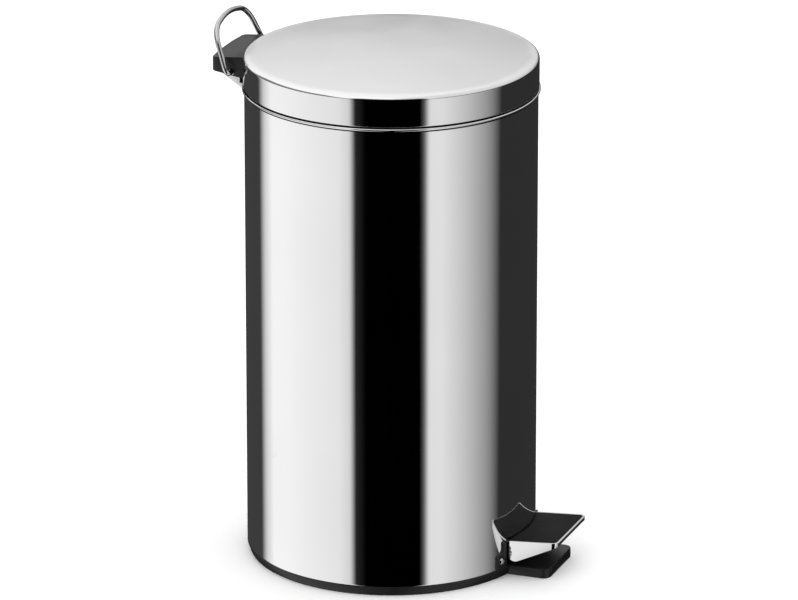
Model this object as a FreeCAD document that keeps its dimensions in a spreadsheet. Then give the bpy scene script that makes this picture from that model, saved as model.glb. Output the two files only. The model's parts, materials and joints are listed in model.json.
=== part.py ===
"""Step-on pedal bin: a steel drum with a hinged domed lid, worked by a foot pedal and a push rod.

Frame: millimetres, +Z up, origin on the floor at the drum's axis. The pedal is at -Y, the hinge at +Y.
"""
import FreeCAD
import Part
import math
import os
import re
import Sketcher

V = FreeCAD.Vector

DRIVING_SIZES = {
    # drum
    "drum_radius": 125.0,
    "drum_sheet": 1.0,
    "drum_foot_height": 8.9,
    "bead_height": 415.5,
    "bead_radius": 1.1,
    "bead_offset": 0.8,
    # moulded base and its tongue
    "base_foot_radius": 122.2,
    "base_floor": 2.4,
    "base_wall": 2.3,
    "base_top": 22.3,
    "tongue_half_width": 32.0,
    "tongue_reach": 155.5,
    "tongue_foot": 0.3,
    "tongue_thickness": 8.2,
    # pedal opening
    "slot_half_width": 39.5,
    "slot_top": 34.6,
    "trim_width": 4.0,
    "trim_thickness": 1.8,
    "trim_top": 32.9,
    "lug_height": 21.7,
    "screw_offset": 45.6,
    "screw_height": 16.7,
    "screw_radius": 1.2,
    "screw_head": 3.0,
    # raised floor plate and pedal fulcrum
    "floor_height": 50.8,
    "floor_sheet": 1.2,
    "floor_flange": 10.0,
    "fulcrum_y": -60.0,
    "fulcrum_height": 30.3,
    "fulcrum_pin_radius": 3.0,
    "bracket_inside": 20.0,
    "bracket_boss": 8.0,
    "rivet_radius": 2.0,
    "rivet_head": 3.4,
    "rivet_cap": 1.2,
    # pedal
    "tread_inner": 116.5,
    "tread_outer": 165.6,
    "tread_half_width": 38.3,
    "tread_top_inner": 32.9,
    "tread_rise": 3.5,
    "tread_corner": 5.5,
    "tread_border": 1.8,
    "rubber_thickness": 1.6,
    "pedal_sheet": 1.5,
    "pedal_lip": 3.6,
    "pedal_end_round": 1.2,
    "pedal_rim_drop": 0.3,
    "cheek_foot": 11.0,
    "lever_half_width": 15.0,
    "lever_thickness": 3.0,
    "lever_height": 17.3,
    "lever_end": 120.0,
    "lever_ear": 2.0,
    # push rod
    "rod_radius": 2.0,
    "rod_x": 6.0,
    "rod_y": 116.0,
    "rod_foot_height": 23.8,
    "rod_cap_radius": 5.0,
    "rod_cap_top": 29.7,
    "rod_cap_gap": 0.2,
    "rod_cap_dome": 6.0,
    "guide_drop": 47.0,
    "guide_height": 9.0,
    # hinge
    "hinge_y": 132.0,
    "hinge_height": 424.7,
    "hinge_tube_radius": 3.7,
    "hinge_tube_half": 31.0,
    "hinge_wire_bore": 2.31,
    "cheek_outside": 26.0,
    "bracket_sheet": 2.0,
    "ear_outside": 20.0,
    "ear_radius": 6.3,
    "lid_swing": 52.0,
    "slot_half_height": 2.75,
    "slot_border": 2.2,
    # lid
    "lid_radius": 125.85,
    "lid_sheet": 1.0,
    "lid_skirt_base": 417.9,
    "lid_shoulder": 443.7,
    "lid_crown": 450.2,
    "lid_round": 3.0,
    "seal_height": 3.7,
    "seal_width": 3.1,
    # hinge cover
    "cover_half_width": 36.5,
    "cover_inner": 112.0,
    "cover_reach": 151.5,
    "cover_corner_reach": 149.4,
    "cover_top": 439.7,
    "cover_fall": 3.4,
    "cover_foot": 418.6,
    "cover_foot_rise": 6.4,
    "cover_wall": 1.6,
    "cover_screw_x": 32.4,
    "cover_screw_drop": 12.1,
    # bucket
    "bucket_wall": 1.6,
    "bucket_floor_radius": 98.0,
    "bucket_neck_radius": 105.6,
    "bucket_rim_radius": 111.0,
    "bucket_rim_depth": 7.0,
    "bucket_top": 403.3,
    "bail_wire": 1.75,
    # carry handle
    "handle_wire": 2.25,
    "handle_half_width": 46.0,
    "handle_shoulder": 37.0,
    "handle_lean": 22.0,
    "handle_leg": 39.0,
    "handle_crown": 46.8,
    "handle_end": 24.0,
    # fits
    "gap": 0.1,
    "running_gap": 0.06,
    "pin_gap": 0.02,
    "hole_gap": 0.1,
}

doc = FreeCAD.newDocument("PedalBin")
sizes = doc.addObject("Spreadsheet::Sheet", "Sizes")
for row, (alias, number) in enumerate(DRIVING_SIZES.items(), start=1):
    sizes.set(f"A{row}", alias)
    sizes.set(f"B{row}", str(number))
    sizes.setAlias(f"B{row}", alias)
doc.recompute()

nodes = []


def bound(expression):
    """Point every size's name in an expression at the spreadsheet."""
    def point(match):
        word = match.group(0)
        return "Sizes." + word if word in DRIVING_SIZES else word
    return re.sub(r"[a-z][a-z_]*", point, str(expression))


def value(expression):
    """The number that an expression of sizes comes to."""
    return float(sizes.evalExpression(bound(expression)))


def bind(thing, **properties):
    """Bind properties of an object to expressions of sizes; two underscores stand for a dot."""
    for name, expression in properties.items():
        thing.setExpression(name.replace("__", "."), bound(expression))
    return thing


def keep(thing, label):
    """Name a finished sub-part, which is then written to its own file."""
    thing.Label = label
    nodes.append(thing)
    return thing


AXIS_TURNS = {
    "x": FreeCAD.Rotation(V(0, 0, 1), V(1, 0, 0)),
    "y": FreeCAD.Rotation(V(0, 0, 1), V(0, 1, 0)),
    "z": FreeCAD.Rotation(),
}


def place(thing, x=0, y=0, z=0, axis="z"):
    """Turn an object's own Z along an axis and bind its position."""
    thing.Placement = FreeCAD.Placement(V(), AXIS_TURNS[axis])
    return bind(thing, Placement__Base__x=x, Placement__Base__y=y, Placement__Base__z=z)


def cylinder(radius, height, x=0, y=0, z=0, axis="z"):
    rod = doc.addObject("Part::Cylinder", "Cylinder")
    bind(rod, Radius=radius, Height=height)
    return place(rod, x, y, z, axis)


def box(low, high):
    """A block from its lowest to its highest corner, as expressions."""
    block = doc.addObject("Part::Box", "Box")
    for side, start, end in zip(("Length", "Width", "Height"), low, high):
        block.setExpression(side, bound(f"({end}) - ({start})"))
    return place(block, *low)


def tube(inner, outer, low, high):
    """A ring round the drum's axis."""
    return cut(cylinder(outer, f"({high}) - ({low})", z=low),
               cylinder(inner, f"({high}) - ({low}) + 2", z=f"({low}) - 1"))


def cut(base, *tools):
    result = base
    for tool in tools:
        step = doc.addObject("Part::Cut", "Cut")
        step.Base = result
        step.Tool = tool
        result = step
    return result


def fuse(*shapes):
    whole = doc.addObject("Part::MultiFuse", "Fuse")
    whole.Shapes = list(shapes)
    return whole


def common(first, second):
    shared = doc.addObject("Part::Common", "Common")
    shared.Base = first
    shared.Tool = second
    return shared


def group(*shapes):
    """Identical fasteners kept together as separate solids."""
    together = doc.addObject("Part::Compound", "Group")
    together.Links = list(shapes)
    return together


def constrain_point(sketch, geometry, position, corner):
    """Hold one sketch point at a pair of expressions."""
    for kind, expression in zip(("DistanceX", "DistanceY"), corner):
        index = sketch.addConstraint(
            Sketcher.Constraint(kind, -1, 1, geometry, position, value(expression)))
        sketch.setExpression(f"Constraints[{index}]", bound(expression))


def rounding(before, corner, after, radius):
    """The two tangent points and the centre of an arc that rounds a corner."""
    towards_before = (before - corner).normalize()
    towards_after = (after - corner).normalize()
    half_turn = towards_before.getAngle(towards_after) / 2
    reach = radius / math.tan(half_turn)
    bisector = (towards_before + towards_after).normalize()
    centre = corner + bisector * (radius / math.sin(half_turn))
    return corner + towards_before * reach, corner + towards_after * reach, centre


def arc_between(start, end, centre):
    """The short arc about a centre from one point to another."""
    middle = ((start + end) * 0.5 - centre).normalize() * (start - centre).Length + centre
    return Part.Arc(start, middle, end)


def draw(sketch, corners, closed=True):
    """Draw lines through corners (x, y) or rounded corners (x, y, radius), each held by the sizes."""
    points = [V(value(corner[0]), value(corner[1]), 0) for corner in corners]
    count = len(points)
    rounds = {}
    for index, corner in enumerate(corners):
        if len(corner) == 3:
            rounds[index] = rounding(points[index - 1], points[index],
                                     points[(index + 1) % count], value(corner[2]))
    lines = []
    for index in range(count if closed else count - 1):
        following = (index + 1) % count
        start = rounds[index][1] if index in rounds else points[index]
        end = rounds[following][0] if following in rounds else points[following]
        lines.append(sketch.addGeometry(Part.LineSegment(start, end)))
    for index, corner in enumerate(corners):
        arriving = lines[index - 1] if closed or index > 0 else None
        leaving = lines[index] if index < len(lines) else None
        if index in rounds:
            start, end, centre = rounds[index]
            bend = sketch.addGeometry(arc_between(start, end, centre))
            forwards = sketch.getPoint(bend, 1).distanceToPoint(start) < 1e-6
            first, last = (1, 2) if forwards else (2, 1)
            sketch.addConstraint(Sketcher.Constraint("Tangent", arriving, 2, bend, first))
            sketch.addConstraint(Sketcher.Constraint("Tangent", leaving, 1, bend, last))
            size = sketch.addConstraint(Sketcher.Constraint("Radius", bend, value(corner[2])))
            sketch.setExpression(f"Constraints[{size}]", bound(corner[2]))
            tip = sketch.addGeometry(Part.Point(points[index]), True)
            constrain_point(sketch, tip, 1, corner)
            sketch.addConstraint(Sketcher.Constraint("PointOnObject", tip, 1, arriving))
            sketch.addConstraint(Sketcher.Constraint("PointOnObject", tip, 1, leaving))
            continue
        if leaving is not None:
            constrain_point(sketch, leaving, 1, corner)
        if arriving is not None and leaving is not None:
            sketch.addConstraint(Sketcher.Constraint("Coincident", arriving, 2, leaving, 1))
        elif arriving is not None:
            constrain_point(sketch, arriving, 2, corner)
    return lines


def body_named(name):
    return doc.addObject("PartDesign::Body", name)


def origin_plane(body, role):
    return next(item for item in body.Origin.OriginFeatures if item.Role == role)


def sketch_on(body, role, lift=0):
    """An empty sketch on one of a body's own origin planes, or parallel to it."""
    sketch = body.newObject("Sketcher::SketchObject", "Sketch")
    sketch.AttachmentSupport = (origin_plane(body, role), [""])
    sketch.MapMode = "FlatFace"
    if lift:
        sketch.setExpression("AttachmentOffset.Base.z", bound(lift))
    return sketch


def add_pad(body, role, corners, length, lift=0, middle=False):
    """Extrude an outline; with middle set, half of it goes each way."""
    sketch = sketch_on(body, role, lift)
    draw(sketch, corners)
    pad = body.newObject("PartDesign::Pad", "Pad")
    pad.Profile = sketch
    pad.Midplane = middle
    bind(pad, Length=length)
    doc.recompute()
    return pad


def add_pocket(body, role, corners, length, lift=0, middle=False, backwards=False):
    """Cut an outline out, and stop if nothing was cut."""
    before = body.Shape.Volume
    sketch = sketch_on(body, role, lift)
    draw(sketch, corners)
    pocket = body.newObject("PartDesign::Pocket", "Pocket")
    pocket.Profile = sketch
    pocket.Midplane = middle
    pocket.Reversed = backwards
    bind(pocket, Length=length)
    doc.recompute()
    if body.Shape.Volume > before - 1:
        raise RuntimeError(f"a pocket in {body.Name} cut nothing")
    return pocket


def revolve(body, corners):
    """Turn a half section, drawn as radius and height, about the drum's axis."""
    sketch = sketch_on(body, "XZ_Plane")
    draw(sketch, corners)
    turned = body.newObject("PartDesign::Revolution", "Revolution")
    turned.Profile = sketch
    turned.ReferenceAxis = (sketch, ["V_Axis"])
    turned.Angle = 360
    doc.recompute()
    return turned


def round_edges(body, radius, wanted):
    """Fillet those edges of a body whose middle point passes a test."""
    base = body.Tip
    names = [f"Edge{number}" for number, edge in enumerate(base.Shape.Edges, start=1)
             if wanted(edge, edge.valueAt((edge.FirstParameter + edge.LastParameter) / 2))]
    fillet = body.newObject("PartDesign::Fillet", "Fillet")
    fillet.Base = (base, names)
    bind(fillet, Radius=radius)
    doc.recompute()
    return fillet


def wire(path, radius, placement):
    """Round wire bent along rounded corners drawn in a plane, starting along that plane's own X."""
    spine = doc.addObject("Sketcher::SketchObject", "Path")
    draw(spine, path, closed=False)
    spine.Placement = placement
    section = doc.addObject("Part::Circle", "Section")
    bind(section, Radius=radius)
    start = V(value(path[0][0]), value(path[0][1]), 0)
    section.Placement = placement.multiply(FreeCAD.Placement(start, AXIS_TURNS["x"]))
    doc.recompute()
    sweep = doc.addObject("Part::Sweep", "Sweep")
    sweep.Sections = [section]
    sweep.Spine = (spine, [f"Edge{number + 1}" for number in range(len(spine.Shape.Edges))])
    sweep.Solid = True
    sweep.Transition = "Right corner"
    doc.recompute()
    return sweep


# ---------------------------------------------------------------- drum and base

BRACKET_RIVETS = [(side * 14, f"bead_height - {drop}") for side in (-1, 1) for drop in (32, 14)]


def screw_seat(side, out=0):
    """Placement at the drum's surface where a trim screw enters, with Z pointing outwards."""
    turn = side * math.asin(value("screw_offset / drum_radius"))
    outwards = V(math.sin(turn), -math.cos(turn), 0)
    spot = outwards * (value("drum_radius") + out) + V(0, 0, value("screw_height"))
    return FreeCAD.Placement(spot, FreeCAD.Rotation(V(0, 0, 1), outwards))


def screw_holes():
    """Clearance holes for the trim screws, through trim, drum and base."""
    depth = 8
    holes = []
    for side in (-1, 1):
        hole = doc.addObject("Part::Cylinder", "ScrewHole")
        bind(hole, Radius="screw_radius + hole_gap", Height=depth + 4)
        hole.Placement = screw_seat(side, out=-depth)
        holes.append(hole)
    return fuse(*holes)


def bracket_rivet_holes():
    """Holes through the drum's wall for the hinge bracket's rivets."""
    return fuse(*[cylinder("rivet_radius + hole_gap", 12, x=x, y="drum_radius - 8", z=z, axis="y")
                  for x, z in BRACKET_RIVETS])


def make_drum():
    """Open steel tube with a rolled bead at the top and an opening for the pedal."""
    body = body_named("Drum")
    inner = "drum_radius - drum_sheet"
    revolve(body, [(inner, "drum_foot_height"), ("drum_radius", "drum_foot_height"),
                   ("drum_radius", "bead_height"), (inner, "bead_height")])
    bead = body.newObject("PartDesign::AdditiveTorus", "Bead")
    bead.AttachmentSupport = (origin_plane(body, "XY_Plane"), [""])
    bead.MapMode = "FlatFace"
    bind(bead, AttachmentOffset__Base__z="bead_height",
         Radius1="drum_radius + bead_offset", Radius2="bead_radius")
    doc.recompute()
    corner = 4
    add_pocket(body, "XZ_Plane",
               [("-slot_half_width", 0), ("slot_half_width", 0),
                ("slot_half_width", "slot_top", corner), ("-slot_half_width", "slot_top", corner)],
               "drum_radius + 5", backwards=True)
    keep(cut(body, bracket_rivet_holes(), screw_holes()), "drum_shell")


def make_base():
    """Moulded base: a flat floor, an upstand inside the drum and a tongue under the pedal."""
    body = body_named("Base")
    outer = "drum_radius - drum_sheet - gap"
    inner = f"{outer} - base_wall"
    ledge = "drum_foot_height - gap"
    edge_radius = 1
    revolve(body, [(0, 0), ("base_foot_radius", 0, edge_radius), ("drum_radius", f"{ledge} - 1.1"),
                   ("drum_radius", ledge), (outer, ledge), (outer, "base_top"), (inner, "base_top"),
                   (inner, "base_floor"), (0, "base_floor")])
    tongue_root = "-base_foot_radius + 3"
    tongue_corner = 7
    add_pad(body, "XY_Plane",
            [("-tongue_half_width", tongue_root),
             ("-tongue_half_width", "-tongue_reach", tongue_corner),
             ("tongue_half_width", "-tongue_reach", tongue_corner),
             ("tongue_half_width", tongue_root)],
            "tongue_thickness", lift="tongue_foot")
    round_edges(body, 0.8, lambda edge, middle: middle.y < -128 and middle.z > 5)
    opening = box(("-slot_half_width - 5", -130, "drum_foot_height"),
                  ("slot_half_width + 5", -100, "base_top + 1"))
    keep(cut(body, opening, screw_holes()), "base")


def make_slot_trims():
    """Moulded strips at both sides of the pedal opening, each with a rounded lug for its screw."""
    trims = []
    for side in (-1, 1):
        body = body_named("Trim")
        inner = f"{side} * (slot_half_width + 0.4)"
        outer = f"{side} * (slot_half_width + trim_width)"
        lug = f"{side} * (screw_offset + 5.4)"
        corners = [(inner, "drum_foot_height"), (lug, "drum_foot_height", 2.5),
                   (lug, "lug_height", 4.2), (outer, "lug_height + 2.4", 3),
                   (outer, "trim_top", 1.5), (inner, "trim_top", 1.5)]
        add_pad(body, "XZ_Plane", corners, "drum_radius + 8")
        trims.append(body)
    band = tube("drum_radius + gap", "drum_radius + gap + trim_thickness", "drum_foot_height",
                "trim_top + 1")
    keep(group(*[cut(common(trim, band), screw_holes()) for trim in trims]), "slot_trims")


def make_slot_screws():
    """A round-headed screw through the lug of each trim."""
    seat = 1.5
    screws = []
    for side in (-1, 1):
        dome = doc.addObject("Part::Sphere", "ScrewHead")
        dome.Radius = 3.4
        head = common(dome, cylinder("screw_head", 1.9, z=seat))
        cross = fuse(box((-2, -0.35, 2.5), (2, 0.35, 5)), box((-0.35, -2, 2.5), (0.35, 2, 5)))
        screw = cut(fuse(head, cylinder("screw_radius", 6, z=seat - 5.9)), cross)
        screw.Placement = screw_seat(side, out=0.55)
        screws.append(screw)
    keep(group(*screws), "slot_screws")


# ---------------------------------------------------------------- floor plate, fulcrum and rod guides

FULCRUM_RIVETS = [(side * 28, f"fulcrum_y + {along}") for side in (-1, 1) for along in (-8, 8)]


def fulcrum_rivet_holes():
    return fuse(*[cylinder("rivet_radius + hole_gap", 10, x=x, y=y, z="floor_height - 5")
                  for x, y in FULCRUM_RIVETS])


def along_fulcrum(radius, low, high):
    """A cylinder on the pedal's turning axis between two X positions."""
    return cylinder(radius, f"({high}) - ({low})", x=low, y="fulcrum_y", z="fulcrum_height", axis="x")


def make_floor_plate():
    """Raised steel floor that the bucket stands on, with a flange turned down inside the drum."""
    body = body_named("FloorPlate")
    outer = "drum_radius - drum_sheet - gap"
    inner = f"{outer} - floor_sheet"
    foot = "floor_height - floor_flange"
    top = "floor_height + floor_sheet"
    revolve(body, [(0, "floor_height"), (inner, "floor_height"), (inner, foot), (outer, foot),
                   (outer, top, 1), (0, top)])
    bush_hole = cylinder(4.6, 10, x="rod_x", y="rod_y", z="floor_height - 5")
    keep(cut(body, bush_hole, fulcrum_rivet_holes()), "floor_plate")


def make_fulcrum_bracket():
    """Pressed bracket under the floor plate that carries the pedal's pin."""
    top = "floor_height - gap"
    outside = "bracket_inside + bracket_sheet"
    plate = box((-34, "fulcrum_y - 13", "floor_height - 1.6"), (34, "fulcrum_y + 13", top))
    cheeks = []
    for low, high in ((f"-({outside})", "-bracket_inside"), ("bracket_inside", outside)):
        cheeks.append(box((low, "fulcrum_y - bracket_boss", "fulcrum_height"),
                          (high, "fulcrum_y + bracket_boss", top)))
        cheeks.append(along_fulcrum("bracket_boss", low, high))
    pin_hole = along_fulcrum("fulcrum_pin_radius + pin_gap", -30, 30)
    keep(cut(fuse(plate, *cheeks), pin_hole, fulcrum_rivet_holes()), "fulcrum_bracket")


def make_fulcrum_rivets():
    """Rivets between the fulcrum bracket and the floor plate."""
    rivets = []
    for x, y in FULCRUM_RIVETS:
        shank = cylinder("rivet_radius", 3.0, x=x, y=y, z="floor_height - 1.7")
        lower = cylinder("rivet_head", "rivet_cap", x=x, y=y, z="floor_height - 1.7 - rivet_cap")
        upper = cylinder("rivet_head", 0.8, x=x, y=y, z="floor_height + floor_sheet + pin_gap")
        rivets.append(fuse(shank, lower, upper))
    keep(group(*rivets), "fulcrum_rivets")


def make_fulcrum_pin():
    """Pin that the pedal lever turns on."""
    keep(along_fulcrum("fulcrum_pin_radius", -25.5, 25.5), "fulcrum_pin")


def make_pin_clips():
    """Push-on washers that hold the fulcrum pin in its bracket."""
    thick = 1
    inner = "bracket_inside + bracket_sheet + 0.3"
    clips = [cut(along_fulcrum(6, low, f"{low} + {thick}"),
                 along_fulcrum("fulcrum_pin_radius + pin_gap", f"{low} - 1", f"{low} + 2"))
             for low in (f"-({inner}) - {thick}", inner)]
    keep(group(*clips), "pin_clips")


def make_rod_bush():
    """Flanged bush that guides the push rod through the floor plate."""
    outline = fuse(cylinder(4.5, "floor_sheet + 3.1", x="rod_x", y="rod_y", z="floor_height - 3"),
                   cylinder(7, 1.4, x="rod_x", y="rod_y", z="floor_height + floor_sheet + 0.05"))
    bore = cylinder("rod_radius + running_gap", 12, x="rod_x", y="rod_y", z="floor_height - 5")
    keep(cut(outline, bore), "rod_bush")


def make_rod_guide():
    """Block on the drum's wall that keeps the top of the push rod upright."""
    foot = "bead_height - guide_drop"
    block = box(("rod_x - 10", "bucket_rim_radius + 1.8", foot),
                ("rod_x + 10", "drum_radius + 5", f"{foot} + guide_height"))
    inside = cylinder("drum_radius - drum_sheet - gap", 20, z=f"{foot} - 5")
    bore = cylinder("rod_radius + running_gap", 20, x="rod_x", y="rod_y", z=f"{foot} - 5")
    keep(cut(common(block, inside), bore), "rod_guide")


# ---------------------------------------------------------------- hinge bracket on the drum

def along_hinge(radius, low, high):
    """A cylinder on the hinge's axis between two X positions."""
    return cylinder(radius, f"({high}) - ({low})", x=low, y="hinge_y", z="hinge_height", axis="x")


def make_hinge_bracket():
    """Folded steel bracket: a curved wall plate, a sloping web and two cheeks for the hinge tube."""
    body = body_named("HingeBracket")
    wall = "drum_radius - 0.5"
    high = "bead_height - 2.6"
    add_pad(body, "YZ_Plane",
            [(wall, "hinge_height - 16.4"), ("drum_radius + 1.5", "hinge_height - 16.4"),
             ("hinge_y + 12", "hinge_height - 5", 1.5), ("hinge_y + 9.2", "hinge_height + 0.5", 3),
             ("hinge_y + 7", "hinge_height + 5.5", 3.5), ("hinge_y + 2", "hinge_height + 7", 3),
             ("hinge_y - 2", "hinge_height + 7", 2), ("hinge_y - 3.7", "hinge_height + 2"),
             ("hinge_y - 3.7", high), (wall, high)],
            "2 * cheek_outside", middle=True)
    add_pocket(body, "YZ_Plane",
               [("hinge_y - 12", "hinge_height - 14.6"), ("drum_radius + 1", "hinge_height - 14.6"),
                ("hinge_y + 18", "hinge_height + 0.7"), ("hinge_y + 18", "hinge_height + 12"),
                ("hinge_y - 12", "hinge_height + 12")],
               "2 * (cheek_outside - bracket_sheet)", middle=True)
    low = "bead_height - 39"
    plate = common(tube("drum_radius + gap", "drum_radius + 1.6", low, high),
                   box(("-cheek_outside", 100, low), ("cheek_outside", 140, high)))
    clear_wall = cylinder("drum_radius + gap", 60, z=f"{low} - 2")
    hole = along_hinge("hinge_tube_radius + pin_gap", -40, 40)
    keep(cut(fuse(cut(body, clear_wall), plate), hole, bracket_rivet_holes()), "hinge_bracket")


def make_hinge_rivets():
    """Rivets that fix the hinge bracket to the drum."""
    inside = "drum_radius - 3.7"
    outside = "drum_radius + 1.4"
    rivets = []
    for x, z in BRACKET_RIVETS:
        spot = {"x": x, "z": z, "axis": "y"}
        rivets.append(fuse(cylinder("rivet_radius", f"{outside} - ({inside})", y=inside, **spot),
                           cylinder("rivet_head", "rivet_cap", y=inside, **spot),
                           cylinder("rivet_head", "rivet_cap", y=outside, **spot)))
    keep(group(*rivets), "hinge_rivets")


def make_hinge_tube():
    """Hollow hinge pin; the carry handle's ends turn inside it."""
    keep(cut(along_hinge("hinge_tube_radius", "-hinge_tube_half", "hinge_tube_half"),
             along_hinge("hinge_wire_bore", "-hinge_tube_half - 1", "hinge_tube_half + 1")),
         "hinge_tube")


def make_hinge_spacers():
    """Bushes between the lid's ears and the bracket's cheeks."""
    near = "ear_outside + 0.2"
    far = "cheek_outside - bracket_sheet - 0.2"
    spacers = [cut(along_hinge(5.4, low, high),
                   along_hinge("hinge_tube_radius + pin_gap", f"{low} - 1", f"{high} + 1"))
               for low, high in ((f"-({far})", f"-({near})"), (near, far))]
    keep(group(*spacers), "hinge_spacers")


# ---------------------------------------------------------------- lid

def dome(name, inset, base):
    """A domed solid with a rounded shoulder, smaller than the lid all round by an inset."""
    body = body_named(name)
    sketch = sketch_on(body, "XZ_Plane")
    foot = (0, base)
    skirt_foot = (f"lid_radius - {inset}", base)
    shoulder = (f"lid_radius - {inset}", f"lid_shoulder - {inset}")
    crown = (0, f"lid_crown - {inset}")
    ends = [V(value(x), value(z), 0) for x, z in (foot, skirt_foot, shoulder, crown)]
    rise = ends[3].y - ends[2].y
    arc_radius = (ends[2].x ** 2 + rise ** 2) / (2 * rise)
    centre = V(0, ends[3].y - arc_radius, 0)
    bottom = sketch.addGeometry(Part.LineSegment(ends[0], ends[1]))
    skirt = sketch.addGeometry(Part.LineSegment(ends[1], ends[2]))
    top = sketch.addGeometry(arc_between(ends[2], ends[3], centre))
    axis = sketch.addGeometry(Part.LineSegment(ends[3], ends[0]))
    constrain_point(sketch, bottom, 1, foot)
    constrain_point(sketch, skirt, 1, skirt_foot)
    constrain_point(sketch, skirt, 2, shoulder)
    constrain_point(sketch, axis, 1, crown)
    outer_end = 1 if sketch.getPoint(top, 1).distanceToPoint(ends[2]) < 1e-6 else 2
    for first, first_end, second, second_end in (
            (bottom, 2, skirt, 1), (skirt, 2, top, outer_end),
            (top, 3 - outer_end, axis, 1), (axis, 2, bottom, 1)):
        sketch.addConstraint(Sketcher.Constraint("Coincident", first, first_end, second, second_end))
    sketch.addConstraint(Sketcher.Constraint("PointOnObject", top, 3, -2))
    turned = body.newObject("PartDesign::Revolution", "Revolution")
    turned.Profile = sketch
    turned.ReferenceAxis = (sketch, ["V_Axis"])
    turned.Angle = 360
    doc.recompute()
    edge_radius = value(skirt_foot[0])
    edge_height = value(shoulder[1])
    round_edges(body, f"lid_round - {inset}", lambda edge, middle: middle.z > edge_height - 0.5
                and abs(math.hypot(middle.x, middle.y) - edge_radius) < 0.01)
    return body


def cover_screw_pieces(radius, length, y):
    """A cylinder at each of the hinge cover's two screws, starting at a given Y."""
    return [cylinder(radius, length, x=f"{side} * cover_screw_x", y=y,
                     z="lid_shoulder - cover_screw_drop", axis="y") for side in (-1, 1)]


def make_lid():
    """Domed steel lid with a rounded shoulder, a straight skirt and a notch for the hinge arm."""
    outside = dome("LidOutside", "0", "lid_skirt_base")
    inside = dome("LidInside", "lid_sheet", "lid_skirt_base - 1")
    notch = box(("-ear_outside - 3", 60, "lid_skirt_base - 2"),
                ("ear_outside + 3", 140, "hinge_height + 9.8"))
    holes = fuse(*cover_screw_pieces("rivet_radius + hole_gap", 12, 114))
    keep(cut(outside, inside, notch, holes), "lid_shell")


def slot_outline(half_height, half_width):
    """The slotted lever's outline, or its slot: a rounded bar along the hook's path over the swing."""
    swing = value("lid_swing") / 2
    radius = value("hinge_y - rod_y")
    drop = radius * math.tan(math.radians(swing))
    near = (value("hinge_y") - radius * math.cos(math.radians(swing)),
            value("hinge_height") - radius * math.sin(math.radians(swing)))
    far = (value("rod_y"), value("hinge_height") - drop)
    pieces = [cylinder(half_height, 2 * half_width, x=-half_width, y=y, z=z, axis="x")
              for y, z in (near, far)]
    bar = doc.addObject("Part::Box", "SlotBar")
    bar.Length = 2 * half_width
    bar.Width = math.dist(near, far)
    bar.Height = 2 * value(half_height)
    turn = FreeCAD.Rotation(V(1, 0, 0), swing)
    corner = V(-half_width, *far) + turn.multVec(V(0, 0, -value(half_height)))
    bar.Placement = FreeCAD.Placement(corner, turn)
    return [*pieces, bar]


def make_lid_arm():
    """Steel arm inside the lid: a curved flange, two ears on the hinge and a slotted lever."""
    low = "lid_skirt_base + 3"
    high = "hinge_height + 11"
    inside = "lid_radius - lid_sheet - gap"
    flange = common(tube(f"{inside} - 1.9", inside, low, high),
                    box(("-cover_screw_x - 3.1", 100, low), ("cover_screw_x + 3.1", 140, high)))
    half_lever = 1.5
    plates = []
    for left, right in (("-ear_outside", "-ear_outside + bracket_sheet"), (-half_lever, half_lever),
                        ("ear_outside - bracket_sheet", "ear_outside")):
        web = box((left, "hinge_y - 10", "bead_height + bead_radius + 1.2"),
                  (right, "hinge_y", "hinge_height + 5.5"))
        plates += [web, along_hinge("ear_radius", left, right)]
    lever = slot_outline("slot_half_height + slot_border", half_lever)
    slot = slot_outline("slot_half_height", 2 * half_lever)
    gusset = box((-half_lever, "rod_y", "hinge_height - 9"),
                 (half_lever, "hinge_y - 8", "hinge_height + 4"))
    over_bead = box((-5, "drum_radius - 2.3", "bead_height - 15"),
                    (5, "drum_radius + 4", "bead_height + bead_radius + 1.2"))
    bore = along_hinge("hinge_tube_radius + running_gap", -30, 30)
    screw_holes_in_flange = fuse(*cover_screw_pieces("rivet_radius + hole_gap", 12, 114))
    whole = fuse(flange, *plates, *lever, gusset)
    keep(cut(whole, over_bead, fuse(*slot), bore, screw_holes_in_flange), "lid_arm")


def cover_block(inset, low):
    """The hinge cover's outer form, with a falling top, smaller at its sides and top by an inset."""
    side = body_named("CoverSide")
    add_pad(side, "YZ_Plane",
            [("cover_inner", low), ("cover_reach", low),
             ("cover_reach", f"cover_top - cover_fall - {inset}"), ("cover_inner", f"cover_top - {inset}")],
            "2 * cover_half_width + 10", middle=True)
    plan = body_named("CoverPlan")
    half = f"(cover_half_width - {inset})"
    corner = f"cover_corner_reach - {inset}"
    reach = f"cover_reach - {inset}"
    add_pad(plan, "XY_Plane",
            [(f"-{half}", "cover_inner - 1"), (half, "cover_inner - 1"), (half, corner, 4), (14, reach, 24),
             (-14, reach, 24), (f"-{half}", corner, 4)], "cover_top - (cover_foot - 10)",
            lift="cover_foot - 10")
    return common(side, plan)


def make_hinge_cover():
    """Moulded cover over the hinge: open below, with a boss for each of its screws."""
    shell = cut(cover_block("0", "cover_foot - 5"), cover_block("cover_wall", "cover_foot - 6"))
    below = body_named("CoverSlope")
    add_pad(below, "YZ_Plane",
            [("cover_inner - 5", "cover_foot - 12"), ("cover_reach + 5", "cover_foot - 12"),
             ("cover_reach + 5", "cover_foot + cover_foot_rise + 0.9"),
             ("cover_inner - 5", "cover_foot - 0.8")],
            "2 * cover_half_width + 10", middle=True)
    bosses = cover_screw_pieces(2.9, 11, "hinge_y - 8")
    screw_bores = fuse(*cover_screw_pieces(1.3, 10, "hinge_y - 9"))
    lid_space = cylinder("lid_radius + 0.15", 60, z="hinge_height - 30")
    wire_hole = along_hinge("handle_wire + 0.5", -50, 50)
    keep(cut(fuse(shell, *bosses), below, lid_space, wire_hole, screw_bores), "hinge_cover")


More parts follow.
